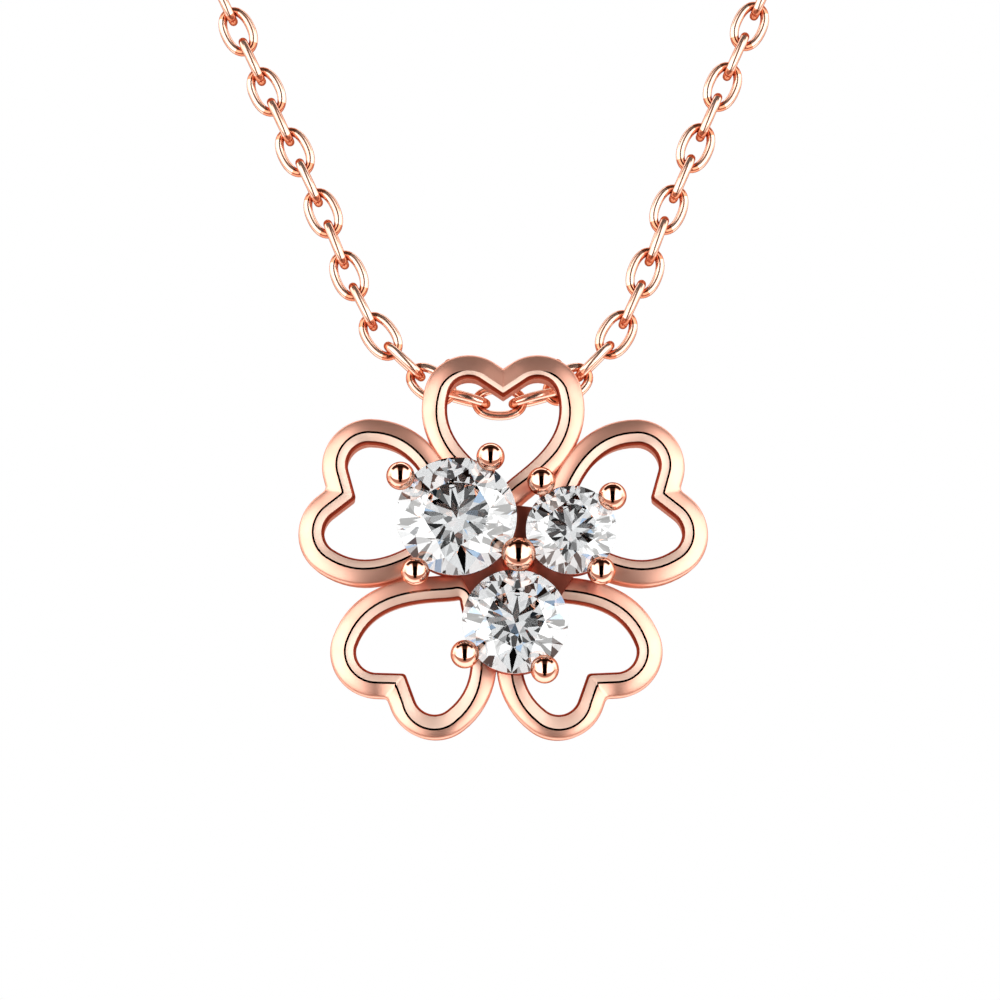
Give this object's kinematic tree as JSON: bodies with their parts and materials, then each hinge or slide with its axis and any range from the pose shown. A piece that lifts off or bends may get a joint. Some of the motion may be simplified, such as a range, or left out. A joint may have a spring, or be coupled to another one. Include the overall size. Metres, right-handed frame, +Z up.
{
  "type": "five-petal heart flower pendant necklace",
  "caption": "Flower pendant of open heart petals round a cluster of round brilliant stones, hung by bail loops on a fine oval-link cable chain with a ring clasp.",
  "frame": {"origin": "the nape of the wearer's neck, at the centre of the clasp's ring", "axes": "+Z up, the flower faces -Y and +X is to the right of someone looking at its face"},
  "size_m": [0.1072, 0.1041, 0.1322],
  "materials": {
    "frame_metal": "polished rose gold",
    "chain_metal": "polished rose gold",
    "stone": "faceted, clear"
  },
  "bodies": {
    "chain": {"chain_front": "chain_metal", "chain_back": "chain_metal", "clasp": "chain_metal"},
    "pendant": {"pendant_frame": "frame_metal", "stone_large": "stone", "stone_medium": "stone", "stone_small": "stone"}
  },
  "joints": [
    {"name": "pendant_swing", "type": "hinge", "parent": "chain", "child": "pendant", "pos_m": [0, -0.1, -0.1169], "axis": [1, 0, 0], "range_deg": [-70, 15]}
  ]
}
